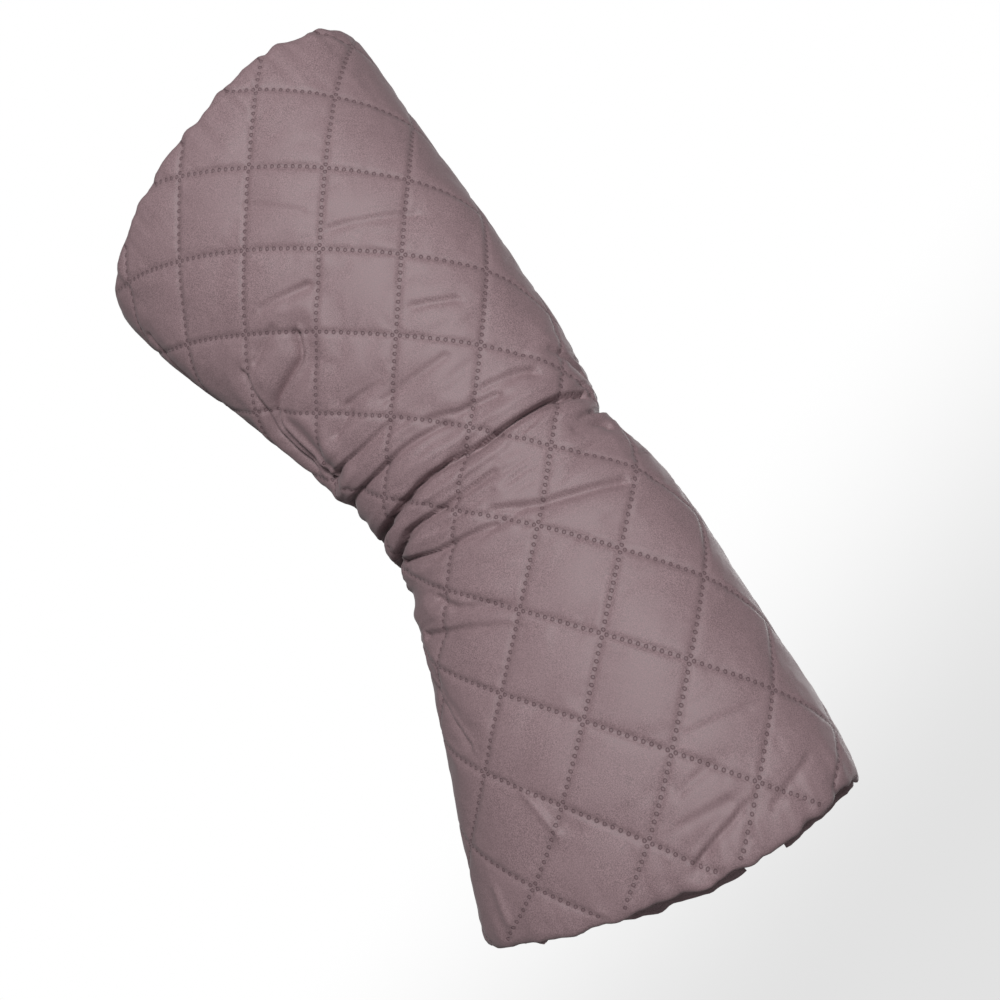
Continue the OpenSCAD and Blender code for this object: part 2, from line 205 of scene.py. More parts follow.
# Folds of the cloth, each along a path of (station in mm, half diamonds up from the middle
# row), with its depth at both ends and the width of its gentle side. A negative depth is a ridge.
FOLDS = [
    # the waist's long folds, from the lower edge up
    dict(path=[(-15, -4.5), (-15, -3.5), (-20, -2), (-15, -1), (-15, 0.5), (-10, 1.25)],
         depth=(10, 6), width=4.5),
    dict(path=[(10, -4.5), (5, -3.5), (0, -3), (5, -2), (5, -1)], depth=(10, 3), width=4.5),
    dict(path=[(10, -3.75), (25, -2.75), (35, -1.5)], depth=(6, 3), width=4.5),
    dict(path=[(-50, -4.25), (-45, -3), (-45, -2), (-40, -1.25)], depth=(6, 3), width=5),
    dict(path=[(-50, -1.5), (-40, -1), (-35, -0.25)], depth=(1.5, 3), width=4),
    dict(path=[(-45, -0.5), (-40, 0.25), (-35, 0.5)], depth=(2, 3.5), width=5),
    dict(path=[(-70, -3.75), (-65, -2.75), (-65, -2)], depth=(5, 2), width=6),
    dict(path=[(25, -1.5), (40, -0.75), (55, 0.75)], depth=(2, 4), width=6),
    dict(path=[(15, -2), (15, -1.25)], depth=(1.5, 1.5), width=3.5),
    dict(path=[(50, -3.25), (65, -3), (85, -2)], depth=(3, 1), width=5),
    dict(path=[(65, -4), (80, -3), (95, -2.25)], depth=(4, 1), width=8),
    dict(path=[(-45, 1), (-25, 1.75)], depth=(2, 4), width=4.5),
    dict(path=[(10, 0.5), (10, 1), (15, 1.25)], depth=(2, 4), width=5),
    dict(path=[(-5, 2.5), (5, 1)], depth=(5, 3), width=5),
    dict(path=[(-80, -2), (-75, -0.5)], depth=(1.5, 1.5), width=5),
    dict(path=[(-95, -2.5), (-90, -1.75)], depth=(3, 1), width=7),
    # the pulls round the lower edge of the left side
    dict(path=[(-155, -2.25), (-140, -2.5), (-135, -3.5), (-125, -3.75), (-70, -3.75)],
         depth=(6, 10), width=8),
    dict(path=[(-90, -2.5), (-85, -3)], depth=(2, 2.5), width=5),
    dict(path=[(-170, -3.5), (-140, -3.75), (-125, -4), (-80, -4)], depth=(3, 5), width=5),
    dict(path=[(-260, -4.5), (-200, -4.75), (-140, -4.5)], depth=(2.5, 2), width=6),
    dict(path=[(-185, -2.5), (-170, -1.5)], depth=(1.5, 2.5), width=7),
    dict(path=[(-165, -3.25), (-170, -2.5)], depth=(2, 1.5), width=5),
    # slack on the wings
    dict(path=[(-240, -1.5), (-205, -0.75)], depth=(1, 1), width=8),
    dict(path=[(-190, -0.75), (-160, 0.75)], depth=(1.5, 1.5), width=8),
    dict(path=[(-115, -0.5), (-100, 0.25)], depth=(1.5, 2), width=5),
    dict(path=[(185, -3.5), (220, -3.25)], depth=(-1.5, -2), width=5),
    dict(path=[(235, -4.75), (260, -4.75)], depth=(-1.5, -1.5), width=5),
    dict(path=[(260, -1.5), (245, -0.25)], depth=(5, 2), width=7),
    dict(path=[(225, -1.25), (220, -0.5)], depth=(1.5, 1), width=6),
    dict(path=[(240, -1.5), (240, -0.5)], depth=(1.5, 1.5), width=6),
    dict(path=[(255, 0), (245, 1)], depth=(2, 1.5), width=6),
    dict(path=[(200, -0.75), (205, 0.5)], depth=(1, 1), width=8),
    dict(path=[(60, -4.5), (110, -4.25), (150, -4)], depth=(5, 3), width=8),
]


def beside_path(path, x, t):
    """Distance from every (x, t) to a smooth path, positive to its right, and how far along the
    path that is, from 0 to 1."""
    p = np.array(path, float)
    p[:, 1] *= ROW
    knots = np.linspace(0, 1, len(p))
    fine = np.linspace(0, 1, 4 * len(p))
    weights = np.exp(-((fine[:, None] - knots[None]) * (len(p) - 1) / 0.6) ** 2)
    weights /= weights.sum(1, keepdims=True)
    curve = weights @ p
    best = np.full(x.shape, 1e9)
    side = np.zeros(x.shape)
    where = np.zeros(x.shape)
    for n in range(len(fine) - 1):
        a, b = curve[n], curve[n + 1]
        ab = b - a
        u = np.clip(((x - a[0]) * ab[0] + (t - a[1]) * ab[1]) / (ab @ ab), 0, 1)
        dx, dt = x - a[0] - u * ab[0], t - a[1] - u * ab[1]
        d = np.hypot(dx, dt)
        near = d < best
        best = np.where(near, d, best)
        side = np.where(near, np.sign(dx * ab[1] - dt * ab[0]), side)
        where = np.where(near, fine[n] + u * (fine[n + 1] - fine[n]), where)
    return best * side, where


def bell(v, width):
    return np.exp(-(v / width) ** 2)


def crumple(x, t):
    """Fine sharp creases of gathered cloth, each only a few centimetres long."""
    total = 0
    for n, pitch in enumerate((19.0, 12.0, 8.0)):
        phase = x / pitch + 0.4 * np.sin(t / (33 + 8 * n) + 2 * n) + 0.37 * n
        from_line = (phase % 1 - 0.5) * pitch
        length = np.clip(1.4 * wave(t / 15 + 5.1 * np.floor(phase), 3.3 + n, 2), 0, 1)
        slant = np.where(from_line < 0, bell(from_line, 0.9), bell(from_line, 2.6))
        total = total + slant * length * pitch / 19
    return total


def folds_at(x, t, sharp):
    """Height of all folds. The gentle part is laid before the cloth is blown up, and the sharp
    part, steep on its left side, after it."""
    out = np.zeros(x.shape)
    for fold in FOLDS:
        d, where = beside_path(fold["path"], x, t)
        depth = fold["depth"][0] + (fold["depth"][1] - fold["depth"][0]) * where
        w = fold["width"]
        if sharp:
            narrow = 1.1 if max(fold["depth"]) > 4 else 3.2
            crease = 0.35 * bell(d, 0.8 * narrow) + 0.4 * np.where(d < 0, bell(d, narrow), bell(d, 0.5 * w))
            out -= depth * (crease - 0.28 * bell(d + 3.2, 2.0))
        else:
            out -= depth * (0.32 * bell(d, w) - 0.3 * bell(d + 2.0 * w, 1.1 * w) - 0.2 * bell(d - 2.4 * w, w))
    return out


def wave(v, seed, octaves=3):
    """A smooth wave of v that never quite repeats."""
    total = 0
    for n in range(octaves):
        faster = 1.7 ** n
        wobble = 1.3 * np.sin(v * 0.61 * faster + seed)
        total = total + np.sin(v * faster + seed * (2.3 + n) + wobble) / 1.5 ** n
    return total / 2


HEMS = ((-1, stations[0]), (1, stations[-1]))
GATHER_PITCH = 21               # distance between the gathers at the back of the waist


def drape():
    """How far the cloth stands out of the plain form, in mm, from folds, gathers and slack."""
    x, t = station_grid, row_grid * ROW
    out = folds_at(x, t, sharp=False)
    # gathers round the back and bottom of the waist, which run out from the elastic
    gathered = bell(x, 62) * ease((-3.6 - k_grid) / 1.4)
    swerve = 0.12 * np.sin(k_grid * 2.1)
    out += 2.0 * gathered * np.sin(2 * np.pi * (x / GATHER_PITCH + swerve) + 0.8 * np.sin(k_grid * 1.3))
    # gathers along both hems, which die out over a hand's breadth
    for side, hem in HEMS:
        e = np.abs(x - hem)
        out += 1.5 * np.exp(-e / 20) * wave(t / 3.4 + side * 4, 5 + side)
        out -= 1.6 * np.exp(-e / 8)
    # the left side hangs fuller along its lower edge
    out += 5.0 * bell(k_grid + 4.7, 1.0) * bell(x + 215, 85)
    out += 2.0 * bell(k_grid + 4.2, 0.8) * ease((-x - 170) / 110)
    # slack
    out += 0.9 * wave(x / 34 + t / 55, 2.1) + 0.8 * wave(t / 27 - x / 61, 7.7)
    # the closing edges are pressed flat under the plackets
    for edge, k in ((ROW_LOWER / STEPS, k_grid), (ROW_FLAP / STEPS, k_grid)):
        near = bell(k - edge, 0.22)
        out = out * (1 - near) - 1.4 * near
    return out


def hem_pull():
    """How far the elastic draws the cloth in between the gathers, along the muff."""
    pull = 0
    for side, hem in HEMS:
        e = np.abs(station_grid - hem)
        pull = pull + side * 3.4 * np.exp(-e / 12) * (0.6 * wave(row_grid * ROW / 7.4, 3 + side) - 0.2)
        pull = pull - side * 6.0 * np.exp(-e / 45) * bell(k_grid + 2.0 + side * 0.6, 1.9)
    return pull


relief = drape()
plain = skin(station_grid, angle_grid, WELD_DEPTH)
plain[..., 0] += hem_pull()
normals = grid_normals(plain)
deepest = relief + folds_at(station_grid, row_grid * ROW, sharp=True)
inner_depth = np.maximum(QUILT_T - 0.55 * deepest, WELD_DEPTH - deepest + THINNEST)
by_strap = bell(station_grid, 45) * ease((k_grid - 1.4) / 0.8)
inner_depth = inner_depth + (QUILT_T - inner_depth) * by_strap


def at_depth(depth):
    """The cloth's grid at a depth below the outside, in mm."""
    depth = np.broadcast_to(depth, relief.shape)
    return plain - normals * (depth - WELD_DEPTH)[..., None]


# ---------------------------------------------------------------- meshes

def new_object(name, verts, faces):
    me = bpy.data.meshes.new(name)
    me.from_pydata([tuple(v) for v in verts], [], faces)
    me.update()
    ob = bpy.data.objects.new(name, me)
    bpy.context.scene.collection.objects.link(ob)
    me.polygons.foreach_set("use_smooth", [True] * len(me.polygons))
    return ob


def only(ob):
    bpy.ops.object.select_all(action="DESELECT")
    ob.select_set(True)
    bpy.context.view_layer.objects.active = ob


def face_outwards(ob):
    bm = bmesh.new()
    bm.from_mesh(ob.data)
    bmesh.ops.recalc_face_normals(bm, faces=bm.faces)
    bm.to_mesh(ob.data)
    bm.free()


def set_vector(ob, name, values):
    a = ob.data.attributes.new(name, "FLOAT_VECTOR", "POINT")
    a.data.foreach_set("vector", np.asarray(values, np.float32).ravel())


def edge_places(count_a, count_b):
    """The places on a grid's edge, once round."""
    a, b = count_a - 1, count_b - 1
    return ([(i, 0) for i in range(a)] + [(a, j) for j in range(b)]
            + [(i, b) for i in range(a, 0, -1)] + [(0, j) for j in range(b, 0, -1)])


def outward(grid, places, flat):
    """Direction out of the cloth at each edge place. Edges named in flat have none."""
    last_a, last_b = grid.shape[0] - 1, grid.shape[1] - 1
    out = np.zeros((len(places), 3))
    for n, (i, j) in enumerate(places):
        for name, there, other in (("first_a", i == 0, (1, j)), ("last_a", i == last_a, (last_a - 1, j)),
                                   ("first_b", j == 0, (i, 1)), ("last_b", j == last_b, (i, last_b - 1))):
            if there and name not in flat:
                step = grid[i, j] - grid[other]
                out[n] += step / max(np.linalg.norm(step), 1e-9)
    return out


def rim_rings(top_edge, bottom_edge, out, rim, steps):
    """Rings of a round rim from the top edge to the bottom edge, without those edges."""
    middle = (top_edge + bottom_edge) / 2
    rings = []
    for n in range(1, steps):
        turn = math.pi * n / steps
        rings.append(middle + (top_edge - middle) * math.cos(turn) + out * rim * math.sin(turn))
    return rings


def ring_faces(loops):
    faces = []
    for one, two in zip(loops[:-1], loops[1:]):
        for n in range(len(one)):
            m = (n + 1) % len(one)
            faces.append((one[n], one[m], two[m], two[n]))
    return faces


def grid_quads(count_a, count_b, start):
    return [(start + i * count_b + j, start + (i + 1) * count_b + j,
             start + (i + 1) * count_b + j + 1, start + i * count_b + j + 1)
            for i in range(count_a - 1) for j in range(count_b - 1)]


def closed_sheet(name, top, bottom, rim=0.5, steps=4, flat=(), pattern=None):
    """A closed piece between two grids of points in mm, with a round rim along its edges.
    pattern is each grid point's place on the flat cloth, in mm, for the materials."""
    a, b = top.shape[:2]
    places = edge_places(a, b)
    top_loop = [i * b + j for i, j in places]
    bottom_loop = [a * b + v for v in top_loop]
    verts = [top.reshape(-1, 3), bottom.reshape(-1, 3)]
    rings = rim_rings(verts[0][top_loop], verts[1][top_loop], outward(top, places, flat), rim, steps)
    loops = [top_loop]
    for n, ring in enumerate(rings):
        start = 2 * a * b + n * len(places)
        loops.append(list(range(start, start + len(places))))
        verts.append(ring)
    loops.append(bottom_loop)
    faces = grid_quads(a, b, 0) + grid_quads(a, b, a * b) + ring_faces(loops)
    ob = new_object(name, np.concatenate(verts) * MM, faces)
    if pattern is None:
        along = np.linalg.norm(np.diff(top, axis=0, prepend=top[:1]), axis=-1).cumsum(0)
        across = np.linalg.norm(np.diff(top, axis=1, prepend=top[:, :1]), axis=-1).cumsum(1)
        pattern = np.stack([along, across, 0 * along], -1)
    flat_pattern = pattern.reshape(-1, 3)
    on_rim = [flat_pattern[top_loop]] * len(rings)
    set_vector(ob, "lay", np.concatenate([flat_pattern, flat_pattern] + on_rim))
    face_outwards(ob)
    return ob


# ---------------------------------------------------------------- quilted pieces

def on_weld(cols, rows):
    """For both directions, whether mesh points lie on a welded row."""
    m = CENTRE_M * STEPS + cols
    return (m + rows) % (2 * STEPS) == 0, (m - rows) % (2 * STEPS) == 0


def diagonal_mesh(row_from, row_to, cut):
    """Points and faces of the cloth between two rows. The faces follow the welded rows, and the
    mesh is cut straight along the outer edges and the row cut."""
    index = {}
    for col in columns:
        for row in range(row_from, row_to + 1):
            if (col + row) % 2 == 0:
                index[(col, row)] = len(index)
    faces = []
    for col in columns:
        for row in range(row_from, row_to + 1):
            if (col + row) % 2 == 0:
                continue
            left, right = index.get((col - 1, row)), index.get((col + 1, row))
            low, high = index.get((col, row - 1)), index.get((col, row + 1))
            ring = [v for v in (left, low, right, high) if v is not None]
            if len(ring) == 4 and row == cut:
                faces += [(left, low, right), (left, right, high)]
            elif len(ring) >= 3:
                faces.append(tuple(ring))
    return index, faces


def at_index(grid, index):
    cols = np.array([c for c, r in index]) - COL_FROM
    rows = np.array([r for c, r in index]) - ROW_LOWER
    return grid[cols, rows]


PUFF_FRAMES = 20
PUFF_CAP = 7.0                  # no point of the cloth moves further than this


def puff(verts, faces, pinned, gathering):
    """Blows the cloth up between the welded rows, with Blender's cloth solver. The cloth has
    most slack where it is gathered."""
    ob = new_object("puffing", verts * MM, faces)
    group = ob.vertex_groups.new(name="welds")
    group.add([int(i) for i in np.flatnonzero(pinned)], 1.0, "REPLACE")
    cloth = ob.modifiers.new("cloth", "CLOTH")
    s = cloth.settings
    s.quality = 4
    s.mass = 0.2
    s.tension_stiffness = s.compression_stiffness = 12
    s.shear_stiffness = 6
    s.bending_stiffness = 0.25
    s.tension_damping = s.compression_damping = s.shear_damping = 8
    s.air_damping = 2
    s.vertex_group_mass = "welds"
    s.use_pressure = True
    s.uniform_pressure_force = 9.0
    slack = ob.vertex_groups.new(name="slack")
    for number, share in enumerate(gathering):
        slack.add([number], float(share), "REPLACE")
    s.vertex_group_shrink = "slack"
    s.shrink_min = -0.006
    s.shrink_max = -0.06
    s.effector_weights.gravity = 0
    cloth.collision_settings.use_collision = False
    cloth.point_cache.frame_start = 1
    cloth.point_cache.frame_end = PUFF_FRAMES
    scene = bpy.context.scene
    for number in range(1, PUFF_FRAMES + 1):
        scene.frame_set(number)
    graph = bpy.context.evaluated_depsgraph_get()
    blown = ob.evaluated_get(graph).to_mesh()
    co = np.empty(len(verts) * 3)
    blown.vertices.foreach_get("co", co)
    co = co.reshape(-1, 3) / MM
    ob.evaluated_get(graph).to_mesh_clear()
    bpy.data.objects.remove(ob)
    scene.frame_set(1)
    move = co - verts
    size = np.linalg.norm(move, axis=1, keepdims=True)
    return verts + move * np.minimum(1, PUFF_CAP / np.maximum(size, 1e-6))


def quilted_sheet():
    """The whole outside, blown up and smoothed: points in mm, their columns and rows, and faces."""
    index, faces = diagonal_mesh(ROW_LOWER, ROW_FLAP, ROW_FOLD)
    cols = np.array([c for c, r in index])
    rows = np.array([r for c, r in index])
    out = at_index(normals, index)
    start = at_index(plain + normals * relief[..., None], index)
    first, second = on_weld(cols, rows)
    edge = (cols == COL_FROM) | (cols == COL_TO) | (rows == ROW_LOWER) | (rows == ROW_FLAP)
    a, b, c = (start[[f[n] for f in faces]] for n in range(3))
    if np.median(np.sum(np.cross(b - a, c - b) * out[[f[0] for f in faces]], 1)) < 0:
        faces = [tuple(reversed(f)) for f in faces]
    gathering = bell(at_index(station_grid, index), 60)
    blown = puff(start, faces, first | second | edge, gathering)
    ob = new_object("sheet", blown, faces)
    set_vector(ob, "place", np.stack([cols, rows, 0 * rows], 1))
    ends = np.empty(2 * len(ob.data.edges), int)
    ob.data.edges.foreach_get("vertices", ends)
    ends = ends.reshape(-1, 2)
    folded = (first[ends].all(1) | second[ends].all(1)) * 0.7
    border = edge[ends].all(1) | (rows[ends] == ROW_FOLD).all(1)
    crease = ob.data.attributes.new("crease_edge", "FLOAT", "EDGE")
    crease.data.foreach_set("value", np.where(border, 1.0, folded).astype(np.float32))
    smooth = ob.modifiers.new("smooth", "SUBSURF")
    smooth.levels = smooth.render_levels = 1
    only(ob)
    bpy.ops.object.modifier_apply(modifier=smooth.name)
    me = ob.data
    points, place = np.empty(3 * len(me.vertices)), np.empty(3 * len(me.vertices))
    normal, quads = np.empty(3 * len(me.vertices)), np.empty(len(me.loops), int)
    me.vertices.foreach_get("co", points)
    me.vertices.foreach_get("normal", normal)
    me.attributes["place"].data.foreach_get("vector", place)
    me.loops.foreach_get("vertex_index", quads)
    bpy.data.objects.remove(ob)
    place = np.round(place.reshape(-1, 3)[:, :2] * 2) / 2
    return points.reshape(-1, 3), normal.reshape(-1, 3), place, quads.reshape(-1, 4)


sheet_points, sheet_normals, sheet_place, sheet_quads = quilted_sheet()
sheet_x = sample(station_grid, sheet_place[:, 0], sheet_place[:, 1])
sheet_t = sample(row_grid, sheet_place[:, 0], sheet_place[:, 1]) * ROW


def quilt_counts(place):
    """Diamond counts in both directions, which the material reads."""
    m, k = CENTRE_M + place[:, 0] / STEPS, place[:, 1] / STEPS
    return np.stack([(m + k) / 2, (m - k) / 2, 0 * m], 1)


def from_weld(counts):
    """Distance to the nearest welded row, in mm."""
    return np.abs((counts[:, :2] + 0.5) % 1 - 0.5).min(1) * CELL


counts = quilt_counts(sheet_place)
weld_gap = from_weld(counts)
along_row = np.where(np.abs((counts[:, 0] + 0.5) % 1 - 0.5) < np.abs((counts[:, 1] + 0.5) % 1 - 0.5),
                     counts[:, 1], counts[:, 0]) * CELL
fine = folds_at(sheet_x, sheet_t, sharp=True)
fine -= 0.7 * bell(weld_gap, 1.6)
fine -= crumple(sheet_x, sheet_t) * (0.02 + 2.3 * bell(sheet_x, 60))
fine += 0.22 * wave(along_row / 1.9, 4.4, 2) * np.exp(-weld_gap / 5) * (weld_gap > 0.5)
sheet_points = sheet_points + sheet_normals * fine[:, None]


def quilted_piece(name, row_from, row_to, flat, hem_roll=4.2, edge_roll=1.6, steps=6):
    """One quilted piece: its blown-up outside, rolled hems and plain inner side."""
    rows = sheet_place[:, 1]
    keep = (rows >= row_from) & (rows <= row_to)
    number = np.cumsum(keep) - 1
    quads = sheet_quads[keep[sheet_quads].all(1)]
    place = sheet_place[keep]
    outside = sheet_points[keep]
    lookup = {(c, r): n for n, (c, r) in enumerate(place.tolist())}
    j_from, j_to = row_from - ROW_LOWER, row_to - ROW_LOWER + 1
    inner = at_depth(inner_depth)[:, j_from:j_to]
    a, b = inner.shape[:2]
    places = edge_places(a, b)
    top_loop = [lookup[(float(columns[i]), float(row_from + j))] for i, j in places]
    start = len(outside)
    bottom_loop = [start + i * b + j for i, j in places]
    outer_grid = (plain + normals * relief[..., None])[:, j_from:j_to]
    hem_out = outward(outer_grid, places, ("first_b", "last_b"))
    edge_out = outward(outer_grid, places, ("first_a", "last_a") + flat)
    verts = [outside, inner.reshape(-1, 3)]
    top_edge, bottom_edge = outside[top_loop], np.array([inner[p] for p in places])
    rings = rim_rings(top_edge, bottom_edge, hem_out * hem_roll + edge_out * edge_roll, 1.0, steps)
    loops = [top_loop]
    start += a * b
    for ring in rings:
        loops.append(list(range(start, start + len(places))))
        verts.append(ring)
        start += len(places)
    loops.append(bottom_loop)
    faces = number[quads].tolist() + grid_quads(a, b, len(outside)) + ring_faces(loops)
    ob = new_object(name, np.concatenate(verts) * MM, [tuple(f) for f in faces])
    inner_place = np.stack([col_grid[:, j_from:j_to], k_grid[:, j_from:j_to] * STEPS], -1)
    edge_place = np.array([inner_place[p] for p in places])
    every = np.concatenate([place, inner_place.reshape(-1, 2)] + [edge_place] * len(rings))
    set_vector(ob, "quilt", quilt_counts(every))
    if flat:
        ends = np.empty(2 * len(ob.data.edges), int)
        ob.data.edges.foreach_get("vertices", ends)
        wall = np.zeros(len(every), bool)
        wall[:len(place)] = place[:, 1] == ROW_FOLD
        sharp = ob.data.attributes.new("sharp_edge", "BOOLEAN", "EDGE")
        sharp.data.foreach_set("value", wall[ends.reshape(-1, 2)].all(1))
    face_outwards(ob)
    return ob


quilted_front = quilted_piece("quilted_front", ROW_LOWER, ROW_FOLD, ("last_b",))
quilted_flap = quilted_piece("quilted_flap", ROW_FOLD, ROW_FLAP, ("first_b",))


# ---------------------------------------------------------------- lining and facings

LINING_GAP, LINING_T = 0.3, 2.2
FACING_T = 1.0
FACING_COLS = 15                # the facing is this many mesh columns wide
BOTH_PARTS = (("", ROW_LOWER, ROW_FOLD, ("last_b",)), ("flap_", ROW_FOLD, ROW_FLAP, ("first_b",)))


def lumps(u, v, size, seed):
    """Smooth random heights from 0 to 1, with lumps of about the given size."""
    heights = np.random.default_rng(seed).random((64, 64))
    a, b = u / size, v / size
    i, j = np.floor(a).astype(int), np.floor(b).astype(int)
    fa, fb = ease(a - i), ease(b - j)
    pick = lambda p, q: heights[p % 64, q % 64]
    return (pick(i, j) * (1 - fa) * (1 - fb) + pick(i + 1, j) * fa * (1 - fb)
            + pick(i, j + 1) * (1 - fa) * fb + pick(i + 1, j + 1) * fa * fb)


def cloth_grid(depth, col_from, col_to, row_from, row_to):
    return at_depth(depth)[col_from - COL_FROM:col_to - COL_FROM + 1,
                           row_from - ROW_LOWER:row_to - ROW_LOWER + 1]


def lining_piece(part, row_from, row_to, flat):
    x, t = station_grid, row_grid * ROW
    pile = 0.9 * lumps(x, t, 5.5, 3) + 0.6 * lumps(x, t, 2.7, 4)
    outside = inner_depth + LINING_GAP
    area = (COL_FROM + FACING_COLS - 1, COL_TO - FACING_COLS + 1, row_from, row_to)
    return closed_sheet(part + "plush", cloth_grid(outside, *area),
                        cloth_grid(outside + LINING_T + pile - 0.6, *area), rim=0.9, flat=flat)


def facing_piece(part, side, row_from, row_to, flat):
    """The hem's facing. Its elastic ruffles it, and it shows past the hem where it has slipped."""
    hem = dict(HEMS)[side]
    e = np.abs(station_grid - hem)
    ruffle = 1.1 * wave(row_grid * ROW / 3.6, 8 + side) * bell(e - 16, 11)
    tuck = 0.9 * np.exp(-e / 3)
    outside = inner_depth + 0.3 - tuck + np.maximum(ruffle, -0.2)
    hem_cols = (COL_FROM, COL_FROM + FACING_COLS) if side < 0 else (COL_TO - FACING_COLS, COL_TO)
    area = hem_cols + (row_from, row_to)
    top, bottom = cloth_grid(outside, *area).copy(), cloth_grid(outside + FACING_T, *area).copy()
    if side > 0 and not part:
        k = k_grid[-FACING_COLS - 1:, row_from - ROW_LOWER:row_to - ROW_LOWER + 1]
        near_hem = bell(e[-FACING_COLS - 1:, :k.shape[1]], 9)
        slipped = bell(k + 4.3, 1.0) * (4.5 + 1.8 * wave(k * 8, 2)) * near_hem
        top[..., 0] += slipped
        bottom[..., 0] += slipped
    name = part + ("left" if side < 0 else "right") + "_facing_cloth"
    return closed_sheet(name, top, bottom, rim=0.5, flat=flat)


linings = {part: lining_piece(part, low, high, flat) for part, low, high, flat in BOTH_PARTS}
facings = {(part, side): facing_piece(part, side, low, high, flat)
           for part, low, high, flat in BOTH_PARTS for side in (-1, 1)}


# ---------------------------------------------------------------- waist elastic and care label

def waist_band():
    """Elastic tape on the lining, with crosswise ribs, round the lower back of the waist."""
    near = [i for i, x in enumerate(stations) if -13 < x < 13]
    rows = [j for j in range(6, len(cloth_rows)) if angle_grid[near[0], j] < 205]
    x = station_grid[near[0]:near[-1] + 1, rows[0]:rows[-1] + 1]
    t = row_grid[near[0]:near[-1] + 1, rows[0]:rows[-1] + 1] * ROW
    finer = 4
    t_fine = np.linspace(0, t.shape[1] - 1, finer * t.shape[1])
    base = inner_depth + LINING_GAP + LINING_T + 0.9

    def stretched(grid):
        low = np.floor(t_fine).astype(int).clip(0, grid.shape[1] - 2)
        u = (t_fine - low)[None, :, None]
        return grid[:, low] * (1 - u) + grid[:, low + 1] * u
    area = (slice(near[0], near[-1] + 1), slice(rows[0], rows[-1] + 1))
    rib = 0.22 * np.sin(np.arange(len(t_fine)) * 2 * np.pi / 4)[None, :, None]
    n = stretched(normals[area])
    return closed_sheet("waist_band", stretched(at_depth(base)[area]) + n * rib,
                        stretched(at_depth(base + 1.2)[area]) - n * rib, rim=0.5)


def label():
    """Blank satin label, held in the seam between the lining and the right facing."""
    low, high = (np.array(corner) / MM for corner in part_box("care_label"))
    u, v = np.meshgrid(np.linspace(0, 1, 27), np.linspace(0, 1, 23), indexing="ij")
    curl = 1.6 * (1 - u) ** 2 + 0.5 * np.sin(v * np.pi) * (1 - u)
    x = high[0] - (high[0] - low[0]) * (1 - u)
    z = low[2] + (high[2] - low[2]) * v
    top = np.stack([x, low[1] + 0.1 + curl, z], -1)
    bottom = top + np.array([0, 0.4, 0])
    return closed_sheet("care_tag", top, bottom, rim=0.15, steps=2)


elastic_band = waist_band()
care_tag = label()


# ---------------------------------------------------------------- plackets

class Stitches:
    """Sewn rows: each stitch is a short thread that dips into the cloth at both ends."""

    def __init__(self):
        self.verts, self.faces = [], []

    def stitch(self, at, along, out, length, radius):
        across = np.cross(along, out)
        across /= np.linalg.norm(across)
        start = len(self.verts)
        sides = 6
        self.verts.append(at - along * length / 2 - out * radius)
        for share, size, lift in ((0.16, 0.8, 0.2), (0.5, 1.0, 0.55), (0.84, 0.8, 0.2)):
            middle = at + along * length * (share - 0.5) + out * radius * lift
            for n in range(sides):
                turn = 2 * math.pi * n / sides
                self.verts.append(middle + radius * size * (across * math.cos(turn) + out * math.sin(turn)))
        self.verts.append(at + along * length / 2 - out * radius)
        last = len(self.verts) - 1
        for n in range(sides):
            m = (n + 1) % sides
            self.faces.append((start, start + 1 + m, start + 1 + n))
            self.faces.append((last, last - sides + n, last - sides + m))
            for ring in range(2):
                one = start + 1 + ring * sides
                self.faces.append((one + n, one + m, one + sides + m, one + sides + n))

    def row(self, points, out, pitch=3.3, length=2.5, radius=0.24):
        """Stitches along a line of points, each with its own outward direction."""
        points, out = np.asarray(points, float), np.asarray(out, float)
        arc = np.concatenate([[0], np.cumsum(np.linalg.norm(np.diff(points, axis=0), axis=1))])
        for s in np.arange(pitch, arc[-1] - pitch / 2, pitch):
            at, ahead, n = (np.array([np.interp(v, arc, grid[:, k]) for k in range(3)])
                            for v, grid in ((s, points), (s + 0.5, points), (s, out)))
            along = ahead - at
            self.stitch(at, along / np.linalg.norm(along), n / np.linalg.norm(n), length, radius)

    def build(self, name):
        ob = new_object(name, np.array(self.verts) * MM, self.faces)
        face_outwards(ob)
        return ob


PLACKET_END = 3.0
TOPSTITCH = 3.2
snap_x = []
cap_low, cap_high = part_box("snap_caps")
SNAPS = 6
CAP_R = 6.25
for n in range(SNAPS):
    span = (cap_high.x - cap_low.x) / MM - 2 * CAP_R
    snap_x.append(cap_low.x / MM + CAP_R + span * n / (SNAPS - 1))


